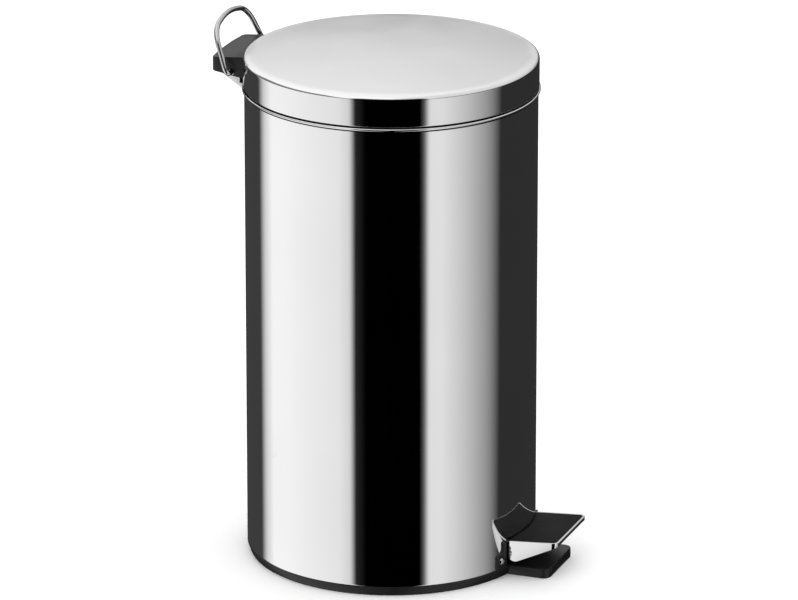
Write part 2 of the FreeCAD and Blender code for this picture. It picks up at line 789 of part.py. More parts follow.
def make_cover_screws():
    """Screws from inside the lid, through its skirt, into the hinge cover."""
    heads = cover_screw_pieces(3.2, 1.4, 116.2)
    shanks = cover_screw_pieces(1.25, 13, 117)
    keep(group(*[fuse(head, shank) for head, shank in zip(heads, shanks)]), "cover_screws")


def make_lid_seal():
    """Soft ring inside the lid's skirt, which meets the drum's bead."""
    low = "bead_height + bead_radius + gap"
    outer = "lid_radius - lid_sheet - gap"
    ring = tube(f"{outer} - seal_width", outer, low, f"{low} + seal_height")
    keep(cut(ring, box((-36, 60, f"{low} - 1"), (36, 140, f"{low} + 5"))), "lid_seal")


# ---------------------------------------------------------------- pedal and push rod

TREAD_SLOPE = "tread_rise / (tread_outer - tread_inner)"
PEDAL_RIVETS = (-130, -148)


def tread_point(y, drop):
    """A point at distance y from the drum's axis and a drop below the tread's top face."""
    return f"-({y})", f"tread_top_inner + (({y}) - tread_inner) * {TREAD_SLOPE} - ({drop})"


def plan_of_tread(inset):
    """An upright block with the tread's plan, rounded at its outer corners."""
    body = body_named("TreadPlan")
    half = f"(tread_half_width - ({inset}))"
    outer = f"-(tread_outer - ({inset}))"
    corner = f"tread_corner - ({inset})"
    add_pad(body, "XY_Plane",
            [(f"-{half}", -110), (f"-{half}", outer, corner), (half, outer, corner), (half, -110)], 60)
    return body


def pad_block(inner, under, name):
    """A sloping slab from the tread's top face down, from an inner distance to the tread's end."""
    body = body_named(name)
    add_pad(body, "YZ_Plane",
            [tread_point(inner, 0), tread_point("tread_outer", 0),
             tread_point("tread_outer", under), tread_point(inner, under)],
            "2 * tread_half_width", middle=True)
    return body


def pedal_rivet_holes():
    return fuse(*[cylinder("rivet_radius + hole_gap", 30, y=y, z=10) for y in PEDAL_RIVETS])


def make_pedal_plate():
    """Pressed steel pedal: a tread recessed for its pad, two triangular cheeks and a short lip."""
    body = body_named("PedalPlate")
    top = "pedal_rim_drop"
    under = "rubber_thickness + pedal_sheet"
    outer, outer_height = tread_point("tread_outer", top)
    cheek = "-tread_inner - 3.4"
    add_pad(body, "YZ_Plane",
            [tread_point("tread_inner", top), (outer, outer_height, "pedal_end_round"),
             (outer, f"{outer_height} - pedal_lip", 1), (cheek, "cheek_foot", 7),
             (cheek, "tread_top_inner - 5", 1), ("-tread_inner", "tread_top_inner - 3.8")],
            "2 * tread_half_width", middle=True)
    hollow_start = "tread_inner - 5"
    hollow_end = "tread_outer - pedal_sheet"
    add_pocket(body, "YZ_Plane",
               [tread_point(hollow_start, under), tread_point(hollow_end, under),
                (f"-({hollow_end})", 0), (f"-({hollow_start})", 0)],
               "2 * (tread_half_width - pedal_sheet)", middle=True)
    recess = common(pad_block("tread_inner - 5", "rubber_thickness", "PadRecess"),
                    plan_of_tread("tread_border - gap"))
    keep(cut(common(body, plan_of_tread("0")), recess, pedal_rivet_holes()), "pedal_plate")


def make_pedal_pad():
    """Rubber pad in the tread's recess, inside a narrow steel border."""
    pad = pad_block("tread_inner + 0.6", "rubber_thickness - 0.05", "PedalPad")
    keep(common(pad, plan_of_tread("tread_border")), "pedal_pad")


def make_pedal_lever():
    """Flat bar from the tread, past the fulcrum, to the foot of the push rod."""
    body = body_named("PedalLever")
    top = "rubber_thickness + pedal_sheet + 0.05"
    start = "tread_outer - 10"
    raised = "lever_height + lever_thickness"
    bend = 20
    add_pad(body, "YZ_Plane",
            [tread_point(start, top), tread_point("tread_inner", top), (-84, raised, bend),
             ("lever_end", raised), ("lever_end", "lever_height"), (-83, "lever_height", bend),
             tread_point("tread_inner", f"{top} + lever_thickness"),
             tread_point(start, f"{top} + lever_thickness")],
            "2 * lever_half_width", middle=True)
    ears = []
    ear_radius = 7
    for low, high in (("-lever_half_width", "-lever_half_width + lever_ear"),
                      ("lever_half_width - lever_ear", "lever_half_width")):
        ears.append(box((low, f"fulcrum_y - {ear_radius}", "lever_height + 1"),
                        (high, f"fulcrum_y + {ear_radius}", "fulcrum_height")))
        ears.append(along_fulcrum(ear_radius, low, high))
    bore = along_fulcrum("fulcrum_pin_radius + running_gap", -30, 30)
    keep(cut(fuse(body, *ears), bore, pedal_rivet_holes()), "pedal_lever")


def make_pedal_rivets():
    """Rivets that hold the lever to the tread, flush under the pad."""
    rivets = []
    for y in PEDAL_RIVETS:
        top = tread_point(-y, "rubber_thickness")[1]
        rivets.append(fuse(cylinder("rivet_radius", 5.4, y=y, z=f"{top} - 5.6"),
                           cylinder("rivet_head", "rivet_cap", y=y, z=f"{top} - 6.1")))
    keep(group(*rivets), "pedal_rivets")


def make_push_rod():
    """Steel wire rod, hooked over at the top through the lid arm's slot."""
    hook = "(hinge_height - (hinge_y - rod_y) * tan(lid_swing / 2))"
    path = [(-5, hook), ("rod_x", hook, 5), ("rod_x", "rod_foot_height")]
    upright = FreeCAD.Placement(V(0, value("rod_y"), 0), FreeCAD.Rotation(V(1, 0, 0), 90))
    keep(wire(path, "rod_radius", upright), "push_rod")


def make_rod_foot():
    """Domed cap on the foot of the push rod, which rests on the pedal lever."""
    low = "lever_height + lever_thickness + rod_cap_gap"
    ball = doc.addObject("Part::Sphere", "CapDome")
    bind(ball, Radius="rod_cap_dome")
    place(ball, "rod_x", "rod_y", f"{low} + rod_cap_dome")
    upper = cylinder("rod_cap_dome", 20, x="rod_x", y="rod_y", z=f"{low} + rod_cap_dome")
    block = cylinder("rod_cap_radius", f"rod_cap_top - ({low})", x="rod_x", y="rod_y", z=low)
    socket = cylinder("rod_radius + pin_gap", 20, x="rod_x", y="rod_y", z="rod_foot_height - 0.05")
    keep(cut(common(block, fuse(ball, upper)), socket), "rod_foot")


# ---------------------------------------------------------------- bucket and carry handle

def make_bucket():
    """Tapered lift-out bucket with a rim turned outwards and down."""
    body = body_named("Bucket")
    floor = "floor_height + floor_sheet + 1"
    rim_inner = "bucket_rim_radius - bucket_wall"
    under_rim = "bucket_top - bucket_wall"
    rim_foot = "bucket_top - bucket_rim_depth"
    revolve(body, [(0, floor), ("bucket_floor_radius", floor, 6), ("bucket_neck_radius", under_rim),
                   (rim_inner, under_rim), (rim_inner, rim_foot), ("bucket_rim_radius", rim_foot),
                   ("bucket_rim_radius", "bucket_top", 1.2),
                   ("bucket_neck_radius - bucket_wall", "bucket_top", 1.2),
                   ("bucket_floor_radius - bucket_wall", f"{floor} + bucket_wall", 4.4),
                   (0, f"{floor} + bucket_wall")])
    holes = [cylinder("bail_wire + 0.15", 10, x=f"{side} * (bucket_neck_radius + 2)", z="bucket_top - 5")
             for side in (-1, 1)]
    keep(cut(body, fuse(*holes)), "bucket")


def make_bucket_handle():
    """Wire bail folded down round the front of the bucket's rim."""
    loop = doc.addObject("Part::Torus", "Bail")
    bind(loop, Radius1="bucket_neck_radius + 2", Radius2="bail_wire")
    loop.Angle3 = 180
    loop.Placement = FreeCAD.Placement(V(), FreeCAD.Rotation(V(0, 0, 1), 180))
    bind(loop, Placement__Base__z="bucket_top + 2")
    ends = [cylinder("bail_wire", 12, x=f"{side} * (bucket_neck_radius + 2)", z="bucket_top - 10")
            for side in (-1, 1)]
    keep(fuse(loop, *ends), "bucket_handle")


def make_carry_handle():
    """Bent wire handle that swings on the hinge's axis."""
    foot_bend = 5
    shoulder_bend = 22
    crown_bend = 90
    path = [("-handle_end", 0), ("-handle_half_width", 0, foot_bend),
            ("-handle_shoulder", "handle_leg", shoulder_bend), (0, "handle_crown", crown_bend),
            ("handle_shoulder", "handle_leg", shoulder_bend),
            ("handle_half_width", 0, foot_bend), ("handle_end", 0)]
    lean = FreeCAD.Rotation(V(1, 0, 0), 90 - value("handle_lean"))
    pivot = FreeCAD.Placement(V(0, value("hinge_y"), value("hinge_height")), lean)
    keep(wire(path, "handle_wire", pivot), "carry_handle")


for make in (make_drum, make_base, make_slot_trims, make_slot_screws, make_floor_plate,
             make_fulcrum_bracket, make_fulcrum_rivets, make_fulcrum_pin, make_pin_clips,
             make_rod_bush, make_rod_guide, make_hinge_bracket, make_hinge_rivets, make_hinge_tube,
             make_hinge_spacers, make_lid, make_lid_arm, make_hinge_cover, make_cover_screws,
             make_lid_seal, make_pedal_plate, make_pedal_pad, make_pedal_lever, make_pedal_rivets,
             make_push_rod, make_rod_foot, make_bucket, make_bucket_handle, make_carry_handle):
    make()
doc.recompute()

for item in doc.Objects:
    if {"Invalid", "Error"} & set(item.State):
        raise RuntimeError(f"{item.Label} ({item.Name}) failed: {item.State}")
for node in nodes:
    if node.Shape.isNull() or not node.Shape.isValid() or not node.Shape.Solids:
        raise RuntimeError(f"{node.Label} has no sound shape")

os.makedirs("parts", exist_ok=True)
for node in nodes:
    node.Shape.exportStep(f"parts/{node.Label}.step")
    bounds = node.Shape.BoundBox
    print(f"{node.Label}: {len(node.Shape.Solids)} solid(s), {node.Shape.Volume:.0f} mm3, "
          f"x {bounds.XMin:.1f}..{bounds.XMax:.1f}, y {bounds.YMin:.1f}..{bounds.YMax:.1f}, "
          f"z {bounds.ZMin:.1f}..{bounds.ZMax:.1f}")
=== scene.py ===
"""Looks of the pedal bin: detailed pieces, materials, light and camera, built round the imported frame."""

import json
import math

import bmesh
import bpy
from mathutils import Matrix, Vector


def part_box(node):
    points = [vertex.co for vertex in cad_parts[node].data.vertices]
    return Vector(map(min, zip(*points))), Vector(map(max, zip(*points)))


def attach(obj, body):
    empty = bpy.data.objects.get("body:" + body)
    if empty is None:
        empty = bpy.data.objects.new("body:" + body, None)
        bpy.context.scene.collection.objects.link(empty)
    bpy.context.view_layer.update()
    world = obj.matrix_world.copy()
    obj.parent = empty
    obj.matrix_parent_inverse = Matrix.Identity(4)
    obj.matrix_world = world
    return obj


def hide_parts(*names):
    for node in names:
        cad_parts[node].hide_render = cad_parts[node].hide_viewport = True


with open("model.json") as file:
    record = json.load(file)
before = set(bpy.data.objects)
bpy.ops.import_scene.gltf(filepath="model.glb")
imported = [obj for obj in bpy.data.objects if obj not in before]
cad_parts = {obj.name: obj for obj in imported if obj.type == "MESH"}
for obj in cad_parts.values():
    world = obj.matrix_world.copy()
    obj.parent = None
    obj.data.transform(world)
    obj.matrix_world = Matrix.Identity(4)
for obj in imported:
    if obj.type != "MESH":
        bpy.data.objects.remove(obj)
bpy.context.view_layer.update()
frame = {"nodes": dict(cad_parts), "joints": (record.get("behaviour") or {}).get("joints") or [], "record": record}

MM = 0.001
TURN = 2 * math.pi


# ---------------------------------------------------------------- sizes, in millimetres

LOWEST = 0
HIGHEST = 1


def box_corner(node, end):
    """The lowest or highest corner of a CAD node's box at rest, to a hundredth of a millimetre."""
    return [round(place / MM, 2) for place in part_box(node)[end]]


def joint_place(name):
    """A point on a joint's axis, to a hundredth of a millimetre."""
    joint = next(joint for joint in frame["joints"] if joint["name"] == name)
    return [round(place / MM, 2) for place in joint["pos_m"]]


DRUM_RADIUS = 125.0
DRUM_SHEET = 1.0
DRUM_FOOT = box_corner("drum_shell", LOWEST)[2]
BEAD_HEIGHT = 415.5
BEAD_RADIUS = 1.1
BEAD_OFFSET = 0.8
# The crease under the bead, which the polished steel darkens with painted shade.
CREASE_LOW = BEAD_HEIGHT - 2.4
CREASE_HIGH = BEAD_HEIGHT - 1.25
CREASE_SHADE_BLUR = 0.3

SLOT_HALF_WIDTH = 39.5
SLOT_TOP = 34.6
SLOT_CORNER = 4.0
TONGUE_REACH = -box_corner("base", LOWEST)[1]

HINGE_Y = joint_place("lid_hinge")[1]
HINGE_HEIGHT = joint_place("lid_hinge")[2]
RIVET_HOLE = 2.1
RIVET_X = 14
RIVET_HEIGHTS = (BEAD_HEIGHT - 32, BEAD_HEIGHT - 14)

LID_RADIUS = box_corner("lid_shell", HIGHEST)[0]
LID_SKIRT_BASE = box_corner("lid_shell", LOWEST)[2]
LID_CROWN = box_corner("lid_shell", HIGHEST)[2]
LID_SHEET = 1.0
LID_SHOULDER = 443.7
LID_ROUND = 3.0
LID_POLISH_TOP = LID_SHOULDER - 0.4
# The dome's rise and its radius of curvature, and where the round of its shoulder meets it.
LID_RISE = LID_CROWN - LID_SHOULDER
LID_CURVE = (LID_RADIUS ** 2 + LID_RISE ** 2) / (2 * LID_RISE)
LID_STEEPEST = math.asin((LID_RADIUS - LID_ROUND) / (LID_CURVE - LID_ROUND))
LID_ROUND_HEIGHT = LID_CROWN - LID_CURVE + (LID_CURVE - LID_ROUND) * math.cos(LID_STEEPEST)
NOTCH_HALF_WIDTH = 23.0
NOTCH_TOP = HINGE_HEIGHT + 9.8

BUCKET_WALL = 1.6
BUCKET_NECK = 105.6
BUCKET_RIM = box_corner("bucket", HIGHEST)[0]
BUCKET_FOOT = box_corner("bucket", LOWEST)[2]
BUCKET_TOP = box_corner("bucket", HIGHEST)[2]


# ---------------------------------------------------------------- meshes

def new_mesh(name, vertices, faces, smooth=True):
    """A mesh object made from plain lists."""
    mesh = bpy.data.meshes.new(name)
    mesh.from_pydata([tuple(v) for v in vertices], [], faces)
    mesh.update()
    piece = bpy.data.objects.new(name, mesh)
    bpy.context.scene.collection.objects.link(piece)
    for polygon in mesh.polygons:
        polygon.use_smooth = smooth
    return piece


def face_outwards(piece):
    """Merge doubled vertices and make the faces look outwards."""
    merging = 0.002 * MM
    work = bmesh.new()
    work.from_mesh(piece.data)
    bmesh.ops.remove_doubles(work, verts=work.verts, dist=merging)
    bmesh.ops.recalc_face_normals(work, faces=work.faces)
    work.to_mesh(piece.data)
    work.free()
    return piece


def edges_turning(work, degrees):
    """The edges of a mesh where two faces meet at more than an angle."""
    return [edge for edge in work.edges
            if len(edge.link_faces) == 2 and edge.calc_face_angle(0) > math.radians(degrees)]


def sharpen(piece, degrees=40):
    """Shade smoothly except over edges that turn by more than an angle."""
    work = bmesh.new()
    work.from_mesh(piece.data)
    for edge in edges_turning(work, degrees):
        edge.smooth = False
    for polygon in work.faces:
        polygon.smooth = True
    work.to_mesh(piece.data)
    work.free()
    return piece


def softened(node, name, width):
    """A copy of a CAD node whose sharp edges are rounded, as on the real piece; width in millimetres."""
    merging = 0.001 * MM
    flatness = 0.6
    sharpness = 28
    piece = bpy.data.objects.new(name, frame["nodes"][node].data.copy())
    bpy.context.scene.collection.objects.link(piece)
    work = bmesh.new()
    work.from_mesh(piece.data)
    bmesh.ops.remove_doubles(work, verts=work.verts, dist=merging)
    bmesh.ops.dissolve_limit(work, angle_limit=math.radians(flatness), verts=work.verts, edges=work.edges)
    bmesh.ops.bevel(work, geom=edges_turning(work, sharpness), offset=width * MM, segments=3,
                    profile=0.5, affect="EDGES", clamp_overlap=True)
    bmesh.ops.triangulate(work, faces=[face for face in work.faces if len(face.verts) > 4])
    bmesh.ops.recalc_face_normals(work, faces=work.faces)
    work.to_mesh(piece.data)
    work.free()
    return sharpen(piece)


def carve(piece, *cutters):
    """Cut other solids out of a piece and remove them."""
    for cutter in cutters:
        cut = piece.modifiers.new("cut", "BOOLEAN")
        cut.object = cutter
        cut.solver = "EXACT"
    graph = bpy.context.evaluated_depsgraph_get()
    result = bpy.data.meshes.new_from_object(piece.evaluated_get(graph))
    piece.modifiers.clear()
    piece.data = result
    for cutter in cutters:
        bpy.data.objects.remove(cutter)
    return piece


# The functions below take millimetres, and make their meshes in metres.

def arc(centre, radius, start, end, steps):
    """Points (radius, height) along an arc, angles in degrees from the outward direction."""
    points = []
    for step in range(steps + 1):
        angle = math.radians(start + (end - start) * step / steps)
        points.append((centre[0] + radius * math.cos(angle), centre[1] + radius * math.sin(angle)))
    return points


def lathe(name, profile, steps):
    """Turn a closed outline of (radius, height) pairs about the Z axis."""
    vertices = []
    faces = []
    count = len(profile)
    for step in range(steps):
        angle = TURN * step / steps
        for radius, height in profile:
            spoke = radius * MM
            vertices.append((spoke * math.cos(angle), spoke * math.sin(angle), height * MM))
    for step in range(steps):
        following = (step + 1) % steps
        for index in range(count):
            after = (index + 1) % count
            faces.append((step * count + index, following * count + index,
                          following * count + after, step * count + after))
    return face_outwards(new_mesh(name, vertices, faces))


def prism_faces(count):
    """The sides and ends of a prism, for two loops of vertices listed one after the other."""
    sides = [(index, (index + 1) % count, count + (index + 1) % count, count + index)
             for index in range(count)]
    return sides + [tuple(range(count)), tuple(range(2 * count - 1, count - 1, -1))]


def block(low, high):
    """A box between two corners."""
    corners = [Vector((x, y, z)) * MM for x in (low[0], high[0]) for y in (low[1], high[1])
               for z in (low[2], high[2])]
    faces = [(0, 1, 3, 2), (4, 6, 7, 5), (0, 4, 5, 1), (2, 3, 7, 6), (0, 2, 6, 4), (1, 5, 7, 3)]
    return face_outwards(new_mesh("block", corners, faces, smooth=False))


def rod(radius, start, end):
    """A cylinder between two points."""
    steps = 32
    start = Vector(start)
    end = Vector(end)
    turn = (end - start).to_track_quat("Z", "Y")
    vertices = []
    for centre in (start, end):
        for step in range(steps):
            angle = TURN * step / steps
            spoke = Vector((radius * math.cos(angle), radius * math.sin(angle), 0))
            vertices.append((centre + turn @ spoke) * MM)
    return face_outwards(new_mesh("rod", vertices, prism_faces(steps)))


# ---------------------------------------------------------------- detailed pieces

def slot_cutter():
    """The pedal opening, with its upper corners rounded."""
    inside_drum = DRUM_RADIUS - 15
    outside_drum = DRUM_RADIUS + 10
    outline = [(SLOT_HALF_WIDTH, 0.0)]
    outline += [(SLOT_HALF_WIDTH - SLOT_CORNER + x, SLOT_TOP - SLOT_CORNER + z)
                for x, z in arc((0, 0), SLOT_CORNER, 0, 90, 8)]
    outline += [(-x, z) for x, z in reversed(outline)]
    vertices = [Vector((x, y, z)) * MM for y in (-outside_drum, -inside_drum) for x, z in outline]
    return face_outwards(new_mesh("slot", vertices, prism_faces(len(outline)), smooth=False))


def make_drum():
    """Drum wall with its rolled bead, foot edge, pedal opening and the hinge bracket's rivet holes."""
    inner = DRUM_RADIUS - DRUM_SHEET
    edge = 0.3
    foot = [(inner, DRUM_FOOT + edge), (inner + edge, DRUM_FOOT), (DRUM_RADIUS - edge, DRUM_FOOT),
            (DRUM_RADIUS - 0.08, DRUM_FOOT + 0.1), (DRUM_RADIUS, DRUM_FOOT + edge)]
    outer_rings = (DRUM_FOOT + 1, SLOT_TOP - 4, SLOT_TOP + 6, 60, 390, CREASE_LOW, CREASE_LOW + 0.6)
    inner_rings = (BEAD_HEIGHT - 0.3, BEAD_HEIGHT - 3, 60, SLOT_TOP + 6, DRUM_FOOT + 1)
    profile = foot + [(DRUM_RADIUS, height) for height in outer_rings]
    profile += arc((DRUM_RADIUS + BEAD_OFFSET, BEAD_HEIGHT), BEAD_RADIUS, -128, 178, 20)
    profile += [(inner, height) for height in inner_rings]
    drum = lathe("drum_wall", profile, 360)
    holes = [rod(RIVET_HOLE, (x, DRUM_RADIUS - 10, z), (x, DRUM_RADIUS + 10, z))
             for x in (-RIVET_X, RIVET_X) for z in RIVET_HEIGHTS]
    carve(drum, slot_cutter(), *holes)
    return sharpen(drum, 35)


def dome_line(inset, count):
    """Points (radius, height) from the end of the shoulder's round to the crown."""
    centre = LID_CROWN - LID_CURVE
    curve = LID_CURVE - inset
    slopes = [LID_STEEPEST * (1 - step / count) for step in range(1, count)]
    return [(curve * math.sin(slope), centre + curve * math.cos(slope)) for slope in slopes]


def make_lid():
    """Domed lid with its rounded shoulder, the hem of its skirt and the notch for the hinge arm."""
    round_centre = (LID_RADIUS - LID_ROUND, LID_ROUND_HEIGHT)
    turn = 90 - math.degrees(LID_STEEPEST)
    middle_hole = 0.4
    hem_radius = 0.5
    skirt_foot = LID_SKIRT_BASE + 1.4
    skirt_top = LID_ROUND_HEIGHT - 1
    hem = arc((LID_RADIUS - hem_radius, LID_SKIRT_BASE + hem_radius), hem_radius, 180, 360, 8)
    outer = [(LID_RADIUS, skirt_foot), (LID_RADIUS, skirt_foot + 8), (LID_RADIUS, skirt_top)]
    outer += arc(round_centre, LID_ROUND, 0, turn, 14)
    outer += dome_line(0, 14) + [(middle_hole, LID_CROWN)]
    inner = [(LID_RADIUS - LID_SHEET, skirt_foot), (LID_RADIUS - LID_SHEET, skirt_top)]
    inner += arc(round_centre, LID_ROUND - LID_SHEET, 0, turn, 8)
    inner += dome_line(LID_SHEET, 10) + [(middle_hole, LID_CROWN - LID_SHEET)]
    lid = lathe("lid_dome", hem + outer + list(reversed(inner)), 360)
    carve(lid, block((-NOTCH_HALF_WIDTH, 60, LID_SKIRT_BASE - 2), (NOTCH_HALF_WIDTH, 140, NOTCH_TOP)))
    return sharpen(lid, 38)


def make_bucket():
    """Tapered bucket with a rolled rim, a strengthening step and a foot ring."""
    foot_radius = 92
    foot_centre = (foot_radius, BUCKET_FOOT + 6)
    middle_hole = 0.5
    # Drop below the top, outer radius and inner radius, from the lowest up to the step.
    wall = ((181, 101.2, 99.6), (71, 103.2, 101.6), (29, 104.2, 102.7), (21, 104.9, 103.4))
    under_rim = BUCKET_TOP - BUCKET_WALL
    rim_inner = BUCKET_RIM - BUCKET_WALL
    rim_foot = BUCKET_TOP - 7
    rim_round = 1.3
    chamfer = 0.3
    profile = [(middle_hole, BUCKET_FOOT + 0.7), (78, BUCKET_FOOT + 0.7), (80, BUCKET_FOOT),
               (foot_radius, BUCKET_FOOT)]
    profile += arc(foot_centre, 6, -90, -4, 10)
    profile += [(outer, BUCKET_TOP - drop) for drop, outer, inner in wall]
    profile += [(BUCKET_NECK - chamfer, under_rim - 0.4), (BUCKET_NECK, under_rim), (rim_inner, under_rim),
                (rim_inner, rim_foot + 0.2), (rim_inner + chamfer, rim_foot),
                (BUCKET_RIM - chamfer, rim_foot), (BUCKET_RIM, rim_foot + chamfer),
                (BUCKET_RIM, BUCKET_TOP - 1.4)]
    profile += arc((BUCKET_RIM - rim_round, BUCKET_TOP - rim_round), rim_round, 0, 90, 6)
    profile += arc((BUCKET_NECK - chamfer, BUCKET_TOP - rim_round), rim_round, 90, 175, 6)
    profile += [(inner, BUCKET_TOP - drop) for drop, outer, inner in reversed(wall)]
    profile += [(96.4, BUCKET_FOOT + 9.3)] + arc(foot_centre, 4.4, 0, -90, 8)
    profile += [(78, BUCKET_FOOT + 1.9), (middle_hole, BUCKET_FOOT + 1.9)]
    bucket = lathe("bucket_wall", profile, 240)
    bail_x = BUCKET_NECK + 2
    holes = [rod(1.9, (x, 0, rim_foot - 2), (x, 0, BUCKET_TOP + 4)) for x in (-bail_x, bail_x)]
    carve(bucket, *holes)
    return sharpen(bucket)


def make_cover():
    """Hinge cover with rounded edges and a shallow recess round each wire hole."""
    cheek = box_corner("hinge_cover", HIGHEST)[0]
    cover = softened("hinge_cover", "cover_shell", 0.7)
    recesses = [block((side * (cheek - 0.7), HINGE_Y - 7.5, HINGE_HEIGHT - 5.4),
                      (side * (cheek + 3.5), HINGE_Y + 4, HINGE_HEIGHT + 8.1)) for side in (-1, 1)]
    carve(cover, *recesses)
    return sharpen(cover)


def make_base():
    """Moulded base with fine upright grooves along the end of its tongue."""
    half_width = 0.45
    depth = 0.6
    groove_foot = 2.2
    tongue_top = 8.5
    base = softened("base", "base_moulding", 0.35)
    grooves = [block((x - half_width, -TONGUE_REACH - depth, groove_foot),
                     (x + half_width, -TONGUE_REACH + depth, tongue_top)) for x in range(-22, 23, 2)]
    carve(base, *grooves)
    return sharpen(base)


def make_pedal_pad():
    """Rubber pad with rounded edges."""
    return softened("pedal_pad", "pedal_rubber", 0.45)


DETAILED = {
    "drum_shell": make_drum,
    "lid_shell": make_lid,
    "bucket": make_bucket,
    "hinge_cover": make_cover,
    "base": make_base,
    "pedal_pad": make_pedal_pad,
}

# The other pieces keep their CAD shape, with edges rounded to these widths in millimetres.
EDGE_WIDTHS = {
    "pedal_plate": 0.45, "slot_trims": 0.5, "hinge_bracket": 0.35, "lid_arm": 0.3, "floor_plate": 0.25,
    "fulcrum_bracket": 0.3, "pedal_lever": 0.4, "rod_guide": 0.5, "rod_bush": 0.25, "rod_foot": 0.3,
    "lid_seal": 0.6, "hinge_spacers": 0.3, "hinge_tube": 0.2, "pin_clips": 0.15, "fulcrum_pin": 0.5,
    "fulcrum_rivets": 0.35, "hinge_rivets": 0.4, "pedal_rivets": 0.3, "cover_screws": 0.3,
    "slot_screws": 0.12,
}


# ---------------------------------------------------------------- shader nodes

class NodeTree:
    """A tree of shader nodes, which are added one call at a time."""

    def __init__(self, tree):
        self.nodes = tree.nodes
        self.links = tree.links

    def put(self, socket, source):
        """Feed a socket from another node, or set it to a plain value."""
        if isinstance(source, bpy.types.NodeSocket):
            self.links.new(source, socket)
        else:
            socket.default_value = source

    def math(self, operation, first, second=0.0):
        """One step of arithmetic."""
        node = self.nodes.new("ShaderNodeMath")
        node.operation = operation
        self.put(node.inputs[0], first)
        self.put(node.inputs[1], second)
        return node.outputs[0]

    def spread(self, source, start, end, low=0.0, high=1.0, interpolation="LINEAR"):
        """Go from low to high as a value goes from start to end."""
        node = self.nodes.new("ShaderNodeMapRange")
        node.interpolation_type = interpolation
        node.inputs["From Min"].default_value = start
        node.inputs["From Max"].default_value = end
        node.inputs["To Min"].default_value = low
        node.inputs["To Max"].default_value = high
        self.put(node.inputs["Value"], source)
        return node.outputs["Result"]

    def ramp(self, source, stops):
        """Colour from a value, through a ramp of (position, colour) stops."""
        node = self.nodes.new("ShaderNodeValToRGB")
        elements = node.color_ramp.elements
        for element, (position, colour) in ((elements[0], stops[0]), (elements[1], stops[-1])):
            element.position = position
            element.color = (*colour, 1)
        for position, colour in stops[1:-1]:
            elements.new(position).color = (*colour, 1)
        self.put(node.inputs["Fac"], source)
        return node.outputs["Color"]


def grey(level):
    """A neutral colour."""
    return (level, level, level)


class Shader(NodeTree):
    """A material, with the steps that the bin's finishes share."""

    def __init__(self, name, **inputs):
        self.material = bpy.data.materials.new(name)
        self.material.use_nodes = True
        super().__init__(self.material.node_tree)
        self.main = self.nodes["Principled BSDF"]
        self.place = self.nodes.new("ShaderNodeTexCoord").outputs["Object"]
        for socket, amount in inputs.items():
            self.main.inputs[socket.replace("_", " ")].default_value = amount

    def stretched(self, scale):
        """Object coordinates scaled by a different amount along each axis."""
        mapping = self.nodes.new("ShaderNodeMapping")
        mapping.inputs["Scale"].default_value = scale
        self.put(mapping.inputs["Vector"], self.place)
        return mapping.outputs["Vector"]

    def noise(self, scale, detail=4, place=None):
        """Cloudy noise from 0 to 1, of about so many clouds per metre."""
        texture = self.nodes.new("ShaderNodeTexNoise")
        texture.inputs["Scale"].default_value = scale
        texture.inputs["Detail"].default_value = detail
        texture.inputs["Roughness"].default_value = 0.55
        self.put(texture.inputs["Vector"], place or self.place)
        return texture.outputs["Fac"]

    def cells(self, scale):
        """Distance from the middle of scattered cells, of about so many per metre."""
        texture = self.nodes.new("ShaderNodeTexVoronoi")
        texture.inputs["Scale"].default_value = scale
        self.put(texture.inputs["Vector"], self.place)
        return texture.outputs["Distance"]

    def by_height(self, start, end, low, high):
        """Go from low to high between two heights above the floor at rest, in millimetres."""
        split = self.nodes.new("ShaderNodeSeparateXYZ")
        self.put(split.inputs["Vector"], self.place)
        return self.spread(split.outputs["Z"], start * MM, end * MM, low, high)

    def tint(self, source, *stops):
        """Colour the surface from a value, through (position, colour) stops."""
        self.put(self.main.inputs["Base Color"], self.ramp(source, stops))

    def rough(self, source):
        """Set the roughness from a value."""
        self.put(self.main.inputs["Roughness"], source)

    def bump(self, height, strength, depth):
        """Raise the surface by a value, where 1 is a depth in millimetres."""
        node = self.nodes.new("ShaderNodeBump")
        node.inputs["Strength"].default_value = strength
        node.inputs["Distance"].default_value = depth * MM
        self.put(node.inputs["Height"], height)
        self.put(self.main.inputs["Normal"], node.outputs["Normal"])


# ---------------------------------------------------------------- materials

def polished_steel():
    """Mirror-polished stainless sheet: faint haze, fine scratches, and painted shade in the crease under the bead.
    """
    shader = Shader("polished_steel", Metallic=1.0)
    haze = shader.noise(9, detail=5)
    drawn = shader.noise(60, detail=6, place=shader.stretched((1, 1, 0.03)))
    # Painted shade: the base colour drops to near black in the band of the crease under the bead.
    below_crease = shader.by_height(CREASE_LOW - CREASE_SHADE_BLUR, CREASE_LOW, 1.0, 0.0)
    above_crease = shader.by_height(CREASE_HIGH, CREASE_HIGH + CREASE_SHADE_BLUR, 0.0, 1.0)
    crease_unshaded = shader.math("ADD", below_crease, above_crease)
    shader.tint(shader.math("MULTIPLY", haze, crease_unshaded),
                (0.0, grey(0.03)), (0.3, (0.84, 0.84, 0.845)), (0.7, grey(0.87)))
    shader.rough(shader.spread(shader.math("ADD", haze, drawn), 0.7, 1.3, 0.035, 0.085))
    shader.bump(shader.noise(7, detail=2), strength=0.10, depth=0.12)
    return shader.material


